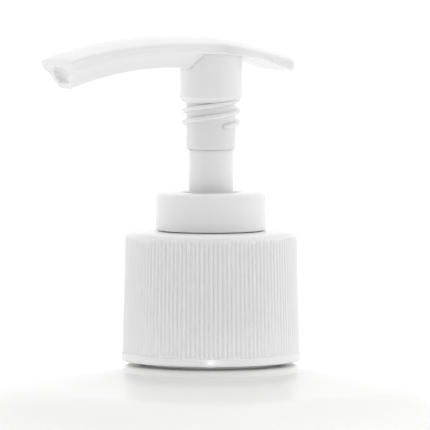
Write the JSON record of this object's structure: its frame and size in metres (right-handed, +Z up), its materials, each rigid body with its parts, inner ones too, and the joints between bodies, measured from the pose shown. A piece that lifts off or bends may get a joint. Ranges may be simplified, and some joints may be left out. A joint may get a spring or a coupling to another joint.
{
  "type": "pump bottle",
  "caption": "Round white shampoo bottle with a ribbed screw closure and a lock-down lotion pump with a saddle-shaped head.",
  "frame": {"origin": "centre of the bottle's base, on the surface it stands on", "axes": "+Z up the bottle's axis, -X the way the nozzle points, +Y to the nozzle's right seen from above with the nozzle pointing away from the viewer"},
  "size_m": [0.083, 0.083, 0.2607],
  "materials": {
    "bottle_plastic": "satin white blow-moulded polyethylene",
    "pump_white": "glossy white moulded polypropylene",
    "foam_white": "white foamed polyethylene",
    "natural_plastic": "milky natural polypropylene",
    "seal_plastic": "waxy natural polyethylene",
    "spring_steel": "bright drawn stainless wire",
    "ball_steel": "polished stainless ball"
  },
  "bodies": {
    "bottle": {"bottle": "bottle_plastic"},
    "gasket": {"neck_gasket": "foam_white"},
    "pump_body": {"pump_housing": "natural_plastic", "lock_collar": "pump_white", "ball_cage": "natural_plastic", "dip_tube": "natural_plastic"},
    "closure": {"closure": "pump_white"},
    "ball": {"inlet_ball": "ball_steel"},
    "spring": {"return_spring": "spring_steel"},
    "piston": {"piston_seal": "seal_plastic"},
    "rod": {"valve_rod": "pump_white"},
    "stem": {"stem": "pump_white"},
    "head": {"actuator_head": "pump_white"}
  },
  "joints": [
    {"name": "pump_lift", "type": "slide", "parent": "bottle", "child": "gasket", "axis": [0, 0, 1], "range_m": [0, 0.215]},
    {"name": "closure_rise", "type": "slide", "parent": "gasket", "child": "pump_body", "axis": [0, 0, 1], "range_m": [0, 0.00847]},
    {"name": "closure_unscrew", "type": "hinge", "parent": "pump_body", "child": "closure", "pos_m": [0, 0, 0.2135], "axis": [0, 0, 1], "range_deg": [0, 720.1]},
    {"name": "ball_lift", "type": "slide", "parent": "pump_body", "child": "ball", "axis": [0, 0, 1], "range_m": [0, 0.0012]},
    {"name": "head_press", "type": "slide", "parent": "pump_body", "child": "spring", "axis": [0, 0, -1], "range_m": [0, 0.0116], "stiffness_N_per_m": 1200, "springref_m": -0.01, "deforming": ["return_spring"]},
    {"name": "lock_travel", "type": "slide", "parent": "spring", "child": "piston", "axis": [0, 0, -1], "range_m": [0, 0.0044]},
    {"name": "outlet_valve", "type": "slide", "parent": "piston", "child": "rod", "axis": [0, 0, -1], "range_m": [0, 0.001], "stiffness_N_per_m": 1200, "springref_m": -0.01},
    {"name": "lock_turn", "type": "hinge", "parent": "rod", "child": "stem", "pos_m": [0, 0, 0.2323], "axis": [0, 0, -1], "range_deg": [0, 377.1]},
    {"name": "head_swivel", "type": "hinge", "parent": "stem", "child": "head", "pos_m": [0, 0, 0.2494], "axis": [0, 0, 1], "continuous": true}
  ],
  "couplings": [
    {"joint": "closure_unscrew", "follows": "closure_rise", "rad_per_m": 1484.2},
    {"joint": "lock_turn", "follows": "lock_travel", "rad_per_m": 1496}
  ]
}
